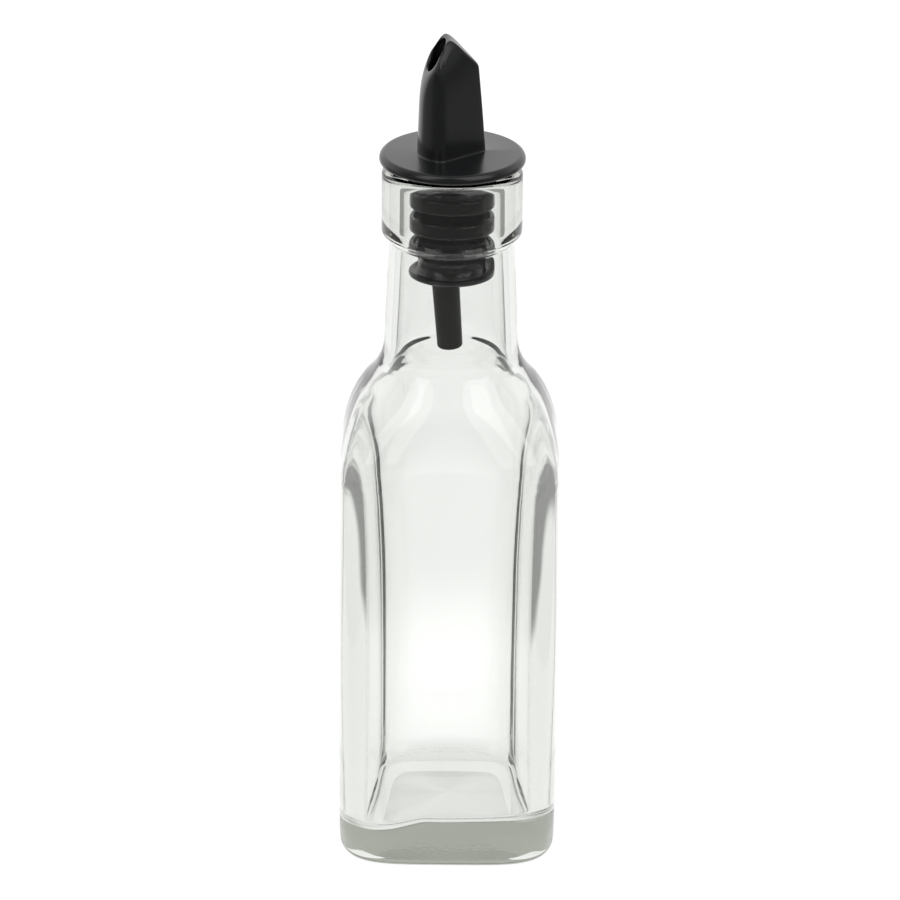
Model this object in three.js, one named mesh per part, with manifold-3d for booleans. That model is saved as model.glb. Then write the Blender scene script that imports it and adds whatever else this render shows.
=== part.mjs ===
// A square glass oil cruet with a moulded black pourer pushed into its neck, standing on its base.
// Millimetres, +Z up. The origin is the centre of the base, the front face looks along -Y,
// and the pourer's mouth opens towards -X, turned a little to the front.
import * as THREE from "three";
import { mergeVertices } from "three/addons/utils/BufferGeometryUtils.js";
import Module from "manifold-3d";

const wasm = await Module();
wasm.setup();

const degrees = THREE.MathUtils.degToRad;

// Driving dimensions of the bottle
const BODY_WIDTH = 50; // across the flat faces, at their ends
const BODY_SWELL = 0.4; // the faces stand out by this much half way up
const BOTTLE_HEIGHT = 163.2; // base to the top of the finish ring
const CORNER_RADIUS = 9.5; // upright outer corners
const WALL = 2.7; // glass at the middle of a face
const INNER_CORNER_RADIUS = 10.5; // rounder than outside, so the corners are thick
const FLOOR_THICKNESS = 7; // solid glass under the hollow
const FLOOR_FILLET_WIDTH = 2.6; // the floor curves up into the faces
const FLOOR_FILLET_HEIGHT = 4;
const FLOOR_HANDLE_DOWN = 0.64; // handles of that curve, as shares of its height and width
const FLOOR_HANDLE_OUT = 0.5;
const FLOOR_DISH = 0.5; // the floor is lower by this much in its middle
const HEEL_RADIUS = 2.6; // rounding between base and faces
const HEEL_CORNER_RADIUS = 12; // upright corners, at the base
const HEEL_BLEND = 9; // height over which they sharpen to the corner radius
const PUNT_DEPTH = 1.3; // the base is pushed up by this much inside its bearing ring
const PUNT_SHARE = 0.78; // how far out the punt reaches, as a share of the base
const PUNT_FLAT = 0.8; // how far out it stays nearly level, as a share of the punt
const SHOULDER_START = 92.2; // height where the faces begin to close in
const SHOULDER_RISE = 24.7; // height of the shoulder's curve, a quarter of a flattened oval
const SHOULDER_RADIUS = 11.3; // where that curve would be level, inside the neck
const SHOULDER_SIDE_POWER = 1.98; // roundness of the oval, beside and above
const SHOULDER_TOP_POWER = 1.69;
const SHOULDER_CORNER_POWER = 1.25; // how soon the square corners turn round
const SHOULDER_STEPS = 9;
const NECK_FILLET = 1.6; // width of the hollow between shoulder and neck
const NECK_FILLET_RISE = 2.56; // height of that hollow
const NECK_LOW_RADIUS = 15.1; // the neck narrows a little on its way up
const NECK_HIGH_RADIUS = 14.15;
const RING_RADIUS = 15.85; // finish ring round the mouth
const RING_HEIGHT = 15.2;
const RING_UNDERCUT = 1.7; // slope under the ring
const RING_EDGE = 1.6; // rounding of the ring's top edge
const BORE_RADIUS = 9.65; // at the mouth
const BORE_LOW_RADIUS = 10.3; // at the foot of the neck
const INNER_SHOULDER_RADIUS = 8; // where the inner shoulder would be level
const BORE_EDGE = 1; // rounding of the bore's top edge

// Driving dimensions of the pourer
const POURER_TURN = degrees(6); // mouth turned from -X towards the front
const FLANGE_RADIUS = 16.4;
const FLANGE_THICKNESS = 3.1;
const FLANGE_EDGE = 1.5; // rounding of the flange's rim
const SPOUT_HEIGHT = 28; // where the two slopes of its top would meet, above the flange
const PEAK_TRIM = 1.4; // the peak is worn level by this much
const SPOUT_BASE_RADIUS = 7.95; // rounded front of the spout, at the flange
const SPOUT_TOP_RADIUS = 7; // the same at the height of the peak
const SPOUT_BASE_FLAT = 4.3; // distance of the two flat sides from the axis, at the flange
const SPOUT_TOP_FLAT = 2.6; // the same at the height of the peak
const SPOUT_WALL = 1;
const BASE_SIDE_ANGLE = degrees(58); // normals of the flat sides, from the back ridge
const TOP_SIDE_ANGLE = degrees(60); // the same at the height of the peak
const CORNER_SHARPNESS = 18; // of the rounded corners between the front and the sides
const MOUTH_LEAN = degrees(28); // face of the mouth, from upright
const MOUTH_LENGTH = 7.4; // oval mouth, along its face
const MOUTH_WIDTH = 7;
const MOUTH_DEPTH = 2.4; // of the oval, down through the wall
const MOUTH_DROP = 5.8; // middle of the mouth below the peak, along its face
const ROOF_SLOPE = degrees(47); // back of the spout's top, from level
const PEAK_FORWARD = 1.4; // distance of the peak from the axis, towards the mouth
const PLUG_LENGTH = 27; // below the flange
const PLUG_RADIUS = 7.5;
const PLUG_CHAMFER = 0.8;
const FIN_RADIUS = 9.35;
const FIN_COUNT = 4;
const FIN_PITCH = 5.7;
const FIRST_FIN = 6.8; // middle of the highest fin, below the flange
const FIN_THICKNESS = 0.9;
const FIN_LIP = 1.9; // height of a fin's turned-up edge
const LOW_FIN_LIP = 3.6; // the lowest fin is bent up further
const LIP_START = 0.4; // where a fin's edge turns upright, as a share of its lip
const CHAMBER_RADIUS = 6.5; // hollow where both passages meet under the spout
const CHAMBER_DEPTH = 7; // below the flange
const CHANNEL_RADIUS = 3.2; // passage for the pour
const CHANNEL_CENTRE = new THREE.Vector2(1.7, 2.95);
const BOSS_DROP = 1.2; // raised pad round the two passages, under the plug
const BOSS_WALL = 0.8;

// Driving dimensions of the breather tube
const TUBE_RADIUS = 2.9;
const TUBE_BORE_RADIUS = 1.9;
const TUBE_EDGE = 0.5; // rounding of its ends
const TUBE_CENTRE = new THREE.Vector2(-1.75, -3.1); // at the foot of the plug
const TUBE_REACH = 14.4; // below the plug
const TUBE_SEAT = 7; // length held in the plug
const TUBE_TILT = degrees(4); // its free end leans towards +X

const FIT_GAP = 0.3; // clearance between two pieces
const OVERLAP = 1; // how far a cut runs past the face that it opens

// Facets
const BOTTLE_SIDES = 56;
const POURER_SIDES = 36;
const SMALL_SIDES = 24;
const BOTTLE_CURVE_STEPS = 6; // along each curve of a profile
const POURER_CURVE_STEPS = 3;
const CORNER_PACKING = 0.15; // draws a square section's points towards its corners, in radians

const HALF_WIDTH = BODY_WIDTH / 2;
const INNER_HALF_WIDTH = HALF_WIDTH - WALL;
const NECK_START = SHOULDER_START + SHOULDER_RISE; // the sections are round from here up
const RING_BOTTOM = BOTTLE_HEIGHT - RING_HEIGHT;
const PLUG_BOTTOM = -PLUG_LENGTH;
const CUTTER_SIZE = 60; // larger than the pourer
const WELD = 1e-4; // points closer than this are one

const glass = new THREE.MeshStandardMaterial({
  name: "soda_lime_glass",
  color: 0xdfe3e0,
  roughness: 0.04,
  metalness: 0,
  transparent: true,
  opacity: 0.35,
});
const blackPlastic = new THREE.MeshStandardMaterial({
  name: "black_polyethylene",
  color: 0x232425,
  roughness: 0.38,
  metalness: 0,
});
const tubePlastic = new THREE.MeshStandardMaterial({
  name: "grey_black_tube_plastic",
  color: 0x2b2c29,
  roughness: 0.5,
  metalness: 0,
});

// The geometry with positions only and its shared vertices merged.
function welded(geometry) {
  geometry.deleteAttribute("normal");
  geometry.deleteAttribute("uv");
  return mergeVertices(geometry, WELD);
}

function toSolid(geometry) {
  const closed = welded(geometry);
  return new wasm.Manifold(
    new wasm.Mesh({
      numProp: 3,
      vertProperties: closed.attributes.position.array,
      triVerts: new Uint32Array(closed.index.array),
    }),
  );
}

function toGeometry(solid) {
  const mesh = solid.getMesh();
  return new THREE.BufferGeometry()
    .setAttribute("position", new THREE.BufferAttribute(mesh.vertProperties, 3))
    .setIndex(new THREE.BufferAttribute(mesh.triVerts, 1));
}

// A profile of (distance from the axis, height) turned about the Z axis.
function turned(profile, sides) {
  return new THREE.LatheGeometry(profile, sides).rotateX(Math.PI / 2);
}

// An upright cylinder between two heights.
function post(radius, low, high, sides) {
  return new THREE.CylinderGeometry(radius, radius, high - low, sides)
    .rotateX(Math.PI / 2)
    .translate(0, 0, (low + high) / 2);
}

// Reach from the axis, at a polar angle, of a square of that half-width with rounded corners.
// A corner radius equal to the half-width makes it a circle.
function roundedSquareReach(half, corner, angle) {
  const c = Math.abs(Math.cos(angle));
  const s = Math.abs(Math.sin(angle));
  const flat = half / Math.max(c, s);
  const centre = half - corner;
  if (flat * Math.min(c, s) <= centre) return flat;
  const along = centre * (c + s);
  return along + Math.sqrt(Math.max(0, along ** 2 - 2 * centre ** 2 + corner ** 2));
}

// Corner radius of a section of that half-width, from the square body in to the round neck.
function shoulderCorner(half, bodyHalf, bodyCorner, level) {
  const share = THREE.MathUtils.clamp((half - level) / (bodyHalf - level), 0, 1);
  return THREE.MathUtils.lerp(half, bodyCorner, share ** SHOULDER_CORNER_POWER);
}

// A quarter oval from the faces' half-width in to a narrower one, drawn lower by the wall inside.
function shoulderCurve(bodyHalf, level, narrow, drop) {
  const last = Math.acos(((narrow - level) / (bodyHalf - level)) ** (SHOULDER_SIDE_POWER / 2));
  return Array.from({ length: SHOULDER_STEPS + 1 }, (_, step) => {
    const angle = (last * step) / SHOULDER_STEPS;
    const inward = Math.cos(angle) ** (2 / SHOULDER_SIDE_POWER);
    const upward = Math.sin(angle) ** (2 / SHOULDER_TOP_POWER);
    return new THREE.Vector2(
      level + (bodyHalf - level) * inward,
      SHOULDER_START + (SHOULDER_RISE - drop) * upward,
    );
  });
}

// Outside of the glass, from the middle of the base up to the mouth.
function outerProfile() {
  const bearing = HALF_WIDTH - HEEL_RADIUS;
  const shoulder = shoulderCurve(HALF_WIDTH, SHOULDER_RADIUS, NECK_LOW_RADIUS + NECK_FILLET, 0);
  const edge = shoulder.at(-1);
  const path = new THREE.Path();
  path.moveTo(0, PUNT_DEPTH);
  path.quadraticCurveTo(bearing * PUNT_SHARE * PUNT_FLAT, PUNT_DEPTH, bearing * PUNT_SHARE, 0);
  path.lineTo(bearing, 0);
  path.quadraticCurveTo(HALF_WIDTH, 0, HALF_WIDTH, HEEL_RADIUS);
  path.lineTo(HALF_WIDTH, HEEL_BLEND);
  path.quadraticCurveTo(
    HALF_WIDTH + 2 * BODY_SWELL,
    (HEEL_BLEND + SHOULDER_START) / 2,
    HALF_WIDTH,
    SHOULDER_START,
  );
  shoulder.slice(1).forEach(({ x, y }) => path.lineTo(x, y));
  path.quadraticCurveTo(
    NECK_LOW_RADIUS,
    edge.y + NECK_FILLET_RISE - NECK_FILLET,
    NECK_LOW_RADIUS,
    edge.y + NECK_FILLET_RISE,
  );
  path.lineTo(NECK_HIGH_RADIUS, RING_BOTTOM - RING_UNDERCUT);
  path.lineTo(RING_RADIUS, RING_BOTTOM);
  path.lineTo(RING_RADIUS, BOTTLE_HEIGHT - RING_EDGE);
  path.quadraticCurveTo(RING_RADIUS, BOTTLE_HEIGHT, RING_RADIUS - RING_EDGE, BOTTLE_HEIGHT);
  return path.getPoints(BOTTLE_CURVE_STEPS);
}

// Inside of the glass, from the mouth down to the middle of the floor.
function innerProfile() {
  const floorEdge = INNER_HALF_WIDTH - FLOOR_FILLET_WIDTH;
  const shoulder = shoulderCurve(INNER_HALF_WIDTH, INNER_SHOULDER_RADIUS, BORE_LOW_RADIUS, WALL);
  const path = new THREE.Path();
  path.moveTo(BORE_RADIUS + BORE_EDGE, BOTTLE_HEIGHT);
  path.quadraticCurveTo(BORE_RADIUS, BOTTLE_HEIGHT, BORE_RADIUS, BOTTLE_HEIGHT - BORE_EDGE);
  path.lineTo(BORE_RADIUS, RING_BOTTOM);
  shoulder.reverse().forEach(({ x, y }) => path.lineTo(x, y));
  path.lineTo(INNER_HALF_WIDTH, FLOOR_THICKNESS + FLOOR_FILLET_HEIGHT);
  path.bezierCurveTo(
    INNER_HALF_WIDTH,
    FLOOR_THICKNESS + FLOOR_FILLET_HEIGHT * (1 - FLOOR_HANDLE_DOWN),
    floorEdge + FLOOR_FILLET_WIDTH * FLOOR_HANDLE_OUT,
    FLOOR_THICKNESS,
    floorEdge,
    FLOOR_THICKNESS,
  );
  path.lineTo(0, FLOOR_THICKNESS - FLOOR_DISH);
  return path.getPoints(BOTTLE_CURVE_STEPS);
}

// Corner radius of the outer section at a point of the profile.
function outerCorner({ x: half, y: height }) {
  if (height > SHOULDER_START) {
    return height > NECK_START ? half : shoulderCorner(half, HALF_WIDTH, CORNER_RADIUS, SHOULDER_RADIUS);
  }
  const share = THREE.MathUtils.smoothstep(height, 0, HEEL_BLEND);
  return (THREE.MathUtils.lerp(HEEL_CORNER_RADIUS, CORNER_RADIUS, share) * half) / HALF_WIDTH;
}

// Corner radius of the inner section at a point of the profile.
function innerCorner({ x: half, y: height }) {
  if (height <= SHOULDER_START) return (INNER_CORNER_RADIUS * half) / INNER_HALF_WIDTH;
  return shoulderCorner(half, INNER_HALF_WIDTH, INNER_CORNER_RADIUS, BORE_LOW_RADIUS);
}

// One closed surface: below the neck the lathe's rings are pushed out to rounded squares.
function bottleGeometry() {
  const outer = outerProfile();
  const inner = innerProfile();
  const profile = [...outer, ...inner];
  const corners = [...outer.map(outerCorner), ...inner.map(innerCorner)];
  const geometry = turned(profile, BOTTLE_SIDES);
  const position = geometry.attributes.position;
  for (let index = 0; index < position.count; index += 1) {
    const row = index % profile.length;
    const half = profile[row].x;
    if (half === 0) continue;
    const corner = Math.min(corners[row], half);
    const even = Math.atan2(position.getY(index), position.getX(index));
    const angle = even + CORNER_PACKING * (1 - corner / half) * Math.sin(4 * even);
    const reach = roundedSquareReach(half, corner, angle);
    position.setXY(index, reach * Math.cos(angle), reach * Math.sin(angle));
  }
  return welded(geometry);
}

// Flange and finned plug. Height 0 is the flange's underside.
function stopperProfile() {
  const rim = FLANGE_RADIUS - FLANGE_EDGE;
  const path = new THREE.Path();
  path.moveTo(0, PLUG_BOTTOM);
  path.lineTo(PLUG_RADIUS - PLUG_CHAMFER, PLUG_BOTTOM);
  path.lineTo(PLUG_RADIUS, PLUG_BOTTOM + PLUG_CHAMFER);
  for (let fin = FIN_COUNT - 1; fin >= 0; fin -= 1) {
    const lip = fin === FIN_COUNT - 1 ? LOW_FIN_LIP : FIN_LIP;
    const foot = -FIRST_FIN - fin * FIN_PITCH - lip / 2;
    const inside = FIN_RADIUS - FIN_THICKNESS / 2;
    path.lineTo(PLUG_RADIUS, foot - FIN_THICKNESS / 2);
    path.quadraticCurveTo(FIN_RADIUS, foot, FIN_RADIUS, foot + lip * LIP_START);
    path.lineTo(FIN_RADIUS, foot + lip);
    path.lineTo(inside, foot + lip);
    path.quadraticCurveTo(inside, foot + FIN_THICKNESS, PLUG_RADIUS, foot + FIN_THICKNESS);
  }
  path.lineTo(PLUG_RADIUS, 0);
  path.lineTo(rim, 0);
  path.absarc(rim, FLANGE_EDGE, FLANGE_EDGE, -Math.PI / 2, 0);
  path.absarc(rim, FLANGE_THICKNESS - FLANGE_EDGE, FLANGE_EDGE, 0, Math.PI / 2);
  path.lineTo(0, FLANGE_THICKNESS);
  return path.getPoints(POURER_CURVE_STEPS);
}

// Reach from the axis of the spout's section: a circle cut by two flats that meet in a ridge at +X.
// Summing the three limits as high powers rounds the corners between them.
function spoutReach(radius, flat, sideAngle, angle) {
  let sum = radius ** -CORNER_SHARPNESS;
  for (const side of [-sideAngle, sideAngle]) {
    sum += Math.max(0, Math.cos(angle - side) / flat) ** CORNER_SHARPNESS;
  }
  return sum ** (-1 / CORNER_SHARPNESS);
}

// A tapering length of the spout, inset by a wall, before its top is cut. Heights from the flange's top.
function spoutLength(low, high, inset) {
  const profile = [
    new THREE.Vector2(0, low),
    new THREE.Vector2(1, low),
    new THREE.Vector2(1, high),
    new THREE.Vector2(0, high),
  ];
  const geometry = turned(profile, POURER_SIDES);
  const position = geometry.attributes.position;
  for (let index = 0; index < position.count; index += 1) {
    if (profile[index % profile.length].x === 0) continue;
    const share = position.getZ(index) / SPOUT_HEIGHT;
    const radius = THREE.MathUtils.lerp(SPOUT_BASE_RADIUS, SPOUT_TOP_RADIUS, share) - inset;
    const flat = THREE.MathUtils.lerp(SPOUT_BASE_FLAT, SPOUT_TOP_FLAT, share) - inset;
    const angle = Math.atan2(position.getY(index), position.getX(index));
    const sideAngle = THREE.MathUtils.lerp(BASE_SIDE_ANGLE, TOP_SIDE_ANGLE, share);
    const reach = spoutReach(radius, flat, sideAngle, angle);
    position.setXY(index, reach * Math.cos(angle), reach * Math.sin(angle));
  }
  return geometry.translate(0, 0, FLANGE_THICKNESS);
}

// Everything past a plane through the spout's peak, moved in by a wall. The tilt is about Y.
function beyondPeak(tilt, inset) {
  return new THREE.BoxGeometry(CUTTER_SIZE, CUTTER_SIZE, CUTTER_SIZE)
    .translate(0, 0, CUTTER_SIZE / 2 - inset)
    .rotateY(tilt)
    .translate(-PEAK_FORWARD, 0, FLANGE_THICKNESS + SPOUT_HEIGHT);
}

// The spout, or the hollow inside it, with the leaning mouth face and the sloping back cut on top.
function spoutSolid(low, inset) {
  return toSolid(spoutLength(low, SPOUT_HEIGHT + OVERLAP, inset))
    .subtract(toSolid(beyondPeak(MOUTH_LEAN - Math.PI / 2, inset)))
    .subtract(toSolid(beyondPeak(ROOF_SLOPE, inset)))
    .subtract(toSolid(beyondPeak(0, inset + PEAK_TRIM)));
}

// The oval mouth, square to its leaning face.
function mouthCutter() {
  return post(1, -MOUTH_DEPTH, OVERLAP, SMALL_SIDES)
    .scale(MOUTH_LENGTH / 2, MOUTH_WIDTH / 2, 1)
    .translate(-MOUTH_DROP, 0, 0)
    .rotateY(MOUTH_LEAN - Math.PI / 2)
    .translate(-PEAK_FORWARD, 0, FLANGE_THICKNESS + SPOUT_HEIGHT);
}

// Leans a piece of the breather tube, drawn upright with its seat at height 0, into its place.
function leaned(geometry) {
  return geometry
    .rotateY(-TUBE_TILT)
    .translate(TUBE_CENTRE.x, TUBE_CENTRE.y, PLUG_BOTTOM - BOSS_DROP);
}

// Pad under the plug: a slot shape round the pour passage and the tube's seat.
function bossGeometry() {
  const across = TUBE_CENTRE.clone().sub(CHANNEL_CENTRE);
  const turn = across.angle();
  const radius = CHANNEL_RADIUS + BOSS_WALL;
  const shape = new THREE.Shape();
  shape.absarc(CHANNEL_CENTRE.x, CHANNEL_CENTRE.y, radius, turn + Math.PI / 2, turn + Math.PI * 1.5);
  shape.absarc(TUBE_CENTRE.x, TUBE_CENTRE.y, radius, turn - Math.PI / 2, turn + Math.PI / 2);
  return new THREE.ExtrudeGeometry(shape, {
    depth: BOSS_DROP + PLUG_CHAMFER,
    bevelEnabled: false,
    curveSegments: SMALL_SIDES / 2,
  }).translate(0, 0, PLUG_BOTTOM - BOSS_DROP);
}

// One moulding: spout, flange, finned plug and boss, with its passages cut through.
function pourerGeometry() {
  const foot = PLUG_BOTTOM - BOSS_DROP - OVERLAP;
  const channel = post(CHANNEL_RADIUS, foot, OVERLAP - CHAMBER_DEPTH, SMALL_SIDES);
  channel.translate(CHANNEL_CENTRE.x, CHANNEL_CENTRE.y, 0);
  const chamber = post(CHAMBER_RADIUS, -CHAMBER_DEPTH, FLANGE_THICKNESS - SPOUT_WALL, POURER_SIDES);
  const seat = post(TUBE_RADIUS + FIT_GAP, -OVERLAP, TUBE_SEAT + FIT_GAP, SMALL_SIDES);
  const airway = post(TUBE_BORE_RADIUS, 0, PLUG_LENGTH - CHAMBER_DEPTH + 2 * OVERLAP, SMALL_SIDES);
  return toGeometry(
    toSolid(turned(stopperProfile(), POURER_SIDES))
      .add(spoutSolid(-FLANGE_THICKNESS / 2, 0))
      .add(toSolid(bossGeometry()))
      .subtract(spoutSolid(-FLANGE_THICKNESS, SPOUT_WALL))
      .subtract(toSolid(mouthCutter()))
      .subtract(toSolid(chamber))
      .subtract(toSolid(channel))
      .subtract(toSolid(leaned(seat)))
      .subtract(toSolid(leaned(airway))),
  );
}

// Breather tube, drawn upright round the axis with the foot of its seat at height 0.
function tubeGeometry() {
  const middle = (TUBE_RADIUS + TUBE_BORE_RADIUS) / 2;
  const path = new THREE.Path();
  path.moveTo(TUBE_BORE_RADIUS, -TUBE_REACH);
  path.lineTo(TUBE_RADIUS - TUBE_EDGE, -TUBE_REACH);
  path.absarc(TUBE_RADIUS - TUBE_EDGE, TUBE_EDGE - TUBE_REACH, TUBE_EDGE, -Math.PI / 2, 0);
  path.lineTo(TUBE_RADIUS, TUBE_SEAT - TUBE_EDGE);
  path.lineTo(middle, TUBE_SEAT);
  path.lineTo(TUBE_BORE_RADIUS, TUBE_SEAT);
  path.lineTo(TUBE_BORE_RADIUS, -TUBE_REACH);
  return welded(leaned(turned(path.getPoints(POURER_CURVE_STEPS), SMALL_SIDES)));
}

function namedMesh(name, geometry, material) {
  const mesh = new THREE.Mesh(geometry, material);
  mesh.name = name;
  return mesh;
}

const pourer = new THREE.Group();
pourer.add(
  namedMesh("pourer", pourerGeometry(), blackPlastic),
  namedMesh("breather_tube", tubeGeometry(), tubePlastic),
);
pourer.position.z = BOTTLE_HEIGHT + FIT_GAP;
pourer.rotation.z = POURER_TURN;

const cruet = new THREE.Group();
cruet.add(namedMesh("bottle", bottleGeometry(), glass), pourer);

export default cruet;
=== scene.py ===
"""A square glass oil cruet with a black plastic pourer, dressed for the studio.

The bottle, the pourer and the breather tube are surfaces computed with numpy: rings of points, each ring a
function of the angle round the axis, stacked along a profile. Sizes are in millimetres until a mesh is made.
"""
import logging
import math
from dataclasses import dataclass, field
from enum import Enum
from typing import Any

import bpy
import numpy as np
from mathutils import Matrix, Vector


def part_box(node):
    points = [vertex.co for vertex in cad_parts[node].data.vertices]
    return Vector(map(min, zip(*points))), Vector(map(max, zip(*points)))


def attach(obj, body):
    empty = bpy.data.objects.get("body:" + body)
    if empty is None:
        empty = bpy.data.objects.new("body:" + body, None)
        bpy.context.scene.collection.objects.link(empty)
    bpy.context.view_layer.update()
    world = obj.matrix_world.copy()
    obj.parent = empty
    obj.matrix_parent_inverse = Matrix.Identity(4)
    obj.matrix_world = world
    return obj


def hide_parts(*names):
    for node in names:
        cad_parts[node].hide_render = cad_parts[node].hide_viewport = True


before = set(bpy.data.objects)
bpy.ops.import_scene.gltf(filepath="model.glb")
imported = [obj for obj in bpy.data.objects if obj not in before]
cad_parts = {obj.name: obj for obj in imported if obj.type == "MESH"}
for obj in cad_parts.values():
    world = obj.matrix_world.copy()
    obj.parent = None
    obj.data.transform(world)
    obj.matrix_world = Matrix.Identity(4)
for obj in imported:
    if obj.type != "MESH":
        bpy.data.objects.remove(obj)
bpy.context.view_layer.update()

Array = np.ndarray
MM = 0.001
ROOT_BODY = "root"
log = logging.getLogger("cruet")


class Leave(Enum):
    """Which way a quarter oval sets out from its first point."""

    LEVEL = "level"
    UPRIGHT = "upright"


def linear(hex_colour: str) -> tuple[float, float, float, float]:
    """Turns an sRGB hex colour into linear light.

    Args:
        hex_colour: six hex digits after a hash sign.

    Returns:
        Linear red, green, blue and an alpha of one.
    """
    channels = [int(hex_colour[start : start + 2], 16) / 255 for start in (1, 3, 5)]
    low = [c / 12.92 if c <= 0.04045 else ((c + 0.055) / 1.055) ** 2.4 for c in channels]
    return (*low, 1.0)


def per_metre(size_mm: float) -> float:
    """Texture scale, in repeats per metre, of a pattern whose marks are that many millimetres apart."""
    return 1 / (size_mm * MM)


def add_node(
    tree: bpy.types.NodeTree, kind: str, sockets: dict[Any, Any], **settings: Any
) -> bpy.types.Node:
    """Adds a node, sets its own settings, and fills or links its inputs.

    Args:
        tree: node tree that gets the node.
        kind: Blender's name for the node's type.
        sockets: input name or number, to a constant or to the output that feeds it.
        **settings: the node's own properties.

    Returns:
        The new node.
    """
    node = tree.nodes.new(kind)
    for name, value in settings.items():
        setattr(node, name, value)
    for name, value in sockets.items():
        if isinstance(value, bpy.types.NodeSocket):
            tree.links.new(value, node.inputs[name])
        else:
            node.inputs[name].default_value = value
    return node


def new_material(name: str) -> bpy.types.Material:
    """Makes an empty node material.

    Args:
        name: the real material and how it was made.

    Returns:
        The material, without nodes.
    """
    material = bpy.data.materials.new(name)
    material.use_nodes = True
    material.node_tree.nodes.clear()
    return material


def line(start: tuple[float, float], end: tuple[float, float], steps: int) -> Array:
    """Evenly spaced points after the start and up to the end of a straight stretch.

    Args:
        start: first point, which is left out.
        end: last point.
        steps: number of points.

    Returns:
        Points, one a row.
    """
    share = np.linspace(0, 1, steps + 1)[1:, None]
    return np.asarray(start) * (1 - share) + np.asarray(end) * share


def quarter(start: tuple[float, float], end: tuple[float, float], leave: Leave, steps: int) -> Array:
    """A quarter oval: one coordinate follows a sine, the other one minus a cosine.

    Args:
        start: first point, which is left out.
        end: last point.
        leave: whether the curve sets out level or upright.
        steps: number of points.

    Returns:
        Points, one a row.
    """
    angle = np.linspace(0, np.pi / 2, steps + 1)[1:]
    early, late = np.sin(angle), 1 - np.cos(angle)
    across, up = (early, late) if leave is Leave.LEVEL else (late, early)
    first, last = np.asarray(start), np.asarray(end)
    return first + (last - first) * np.stack([across, up], -1)


def bend(start: Array, corner: Array, end: Array, steps: int) -> Array:
    """A quadratic curve that rounds off a corner, for one corner or for a whole ring of them.

    Args:
        start: point or ring where the rounding begins, which is left out.
        corner: the corner itself.
        end: point or ring where the rounding ends.
        steps: number of points or rings.

    Returns:
        The points or rings, stacked along a new first axis.
    """
    share = np.linspace(0, 1, steps + 1)[1:].reshape(-1, *[1] * np.ndim(start))
    return (1 - share) ** 2 * start + 2 * share * (1 - share) * corner + share**2 * end


def smooth(share: Array) -> Array:
    """A smooth cubic step from nought to one."""
    share = np.clip(share, 0, 1)
    return share**2 * (3 - 2 * share)


def soft_square_reach(half: Array, corner: Array, angle: Array) -> Array:
    """Reach from the axis of a soft-cornered square, a superellipse.

    The powers of cosine and sine are summed and the root is taken. The power is chosen so that the
    diagonal is that of a square whose corners have the given radius. A corner radius equal to the
    half-width gives a circle.

    Args:
        half: half-widths.
        corner: corner radii.
        angle: polar angles.

    Returns:
        Distances from the axis.
    """
    diagonal = math.sqrt(2) - (math.sqrt(2) - 1) * corner / half
    power = 1 / (0.5 - np.log2(diagonal))
    return half * (np.abs(np.cos(angle)) ** power + np.abs(np.sin(angle)) ** power) ** (-1 / power)


def skin(name: str, rings: Array, close_rows: bool) -> bpy.types.Object:
    """Makes a closed mesh from a stack of rings.

    Each ring is joined to the next by quads. The stack either closes on itself, as a tube's wall does,
    or ends in a pole at the middle of its first and last ring. Faces are turned to point outwards by the
    sign of the enclosed volume.

    Args:
        name: object name.
        rings: points in millimetres, as rings by points by three.
        close_rows: whether the last ring joins the first.

    Returns:
        The new object, at the origin and smooth shaded.
    """
    rows, columns, _ = rings.shape
    points = rings.reshape(-1, 3) * MM
    row_last = rows if close_rows else rows - 1
    i, j = np.meshgrid(np.arange(row_last), np.arange(columns), indexing="ij")
    here, beside = i * columns + j, i * columns + (j + 1) % columns
    above = (i + 1) % rows * columns + j
    above_beside = (i + 1) % rows * columns + (j + 1) % columns
    quads = np.stack([here, beside, above_beside, above], -1).reshape(-1, 4)
    faces = quads.tolist()
    a, b, c, d = (points[quads[:, k]] for k in range(4))
    volume = np.einsum("ij,ij->", a, np.cross(b, c)) + np.einsum("ij,ij->", a, np.cross(c, d))
    if not close_rows:
        first, last = np.arange(columns), (rows - 1) * columns + np.arange(columns)
        poles = np.stack([rings[0].mean(0), rings[-1].mean(0)]) * MM
        low_pole, high_pole = len(points), len(points) + 1
        points = np.concatenate([points, poles])
        fans = np.concatenate(
            [
                np.stack([np.full(columns, low_pole), np.roll(first, -1), first], -1),
                np.stack([np.full(columns, high_pole), last, np.roll(last, -1)], -1),
            ]
        )
        faces += fans.tolist()
    if volume < 0:
        faces = [face[::-1] for face in faces]
    mesh = bpy.data.meshes.new(name)
    mesh.from_pydata(points.tolist(), [], faces)
    mesh.polygons.foreach_set("use_smooth", np.ones(len(mesh.polygons), dtype=bool))
    mesh.update()
    piece = bpy.data.objects.new(name, mesh)
    bpy.context.scene.collection.objects.link(piece)
    return piece


def dress(piece: bpy.types.Object, material: bpy.types.Material, node: str) -> None:
    """Gives a piece its material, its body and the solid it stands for.

    Args:
        piece: the new object.
        material: its finish.
        node: name of the solid that it replaces.
    """
    piece.data.materials.append(material)
    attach(piece, ROOT_BODY)
    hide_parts(node)
    log.info("%s: %d vertices, %s", piece.name, len(piece.data.vertices), material.name)


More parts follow.
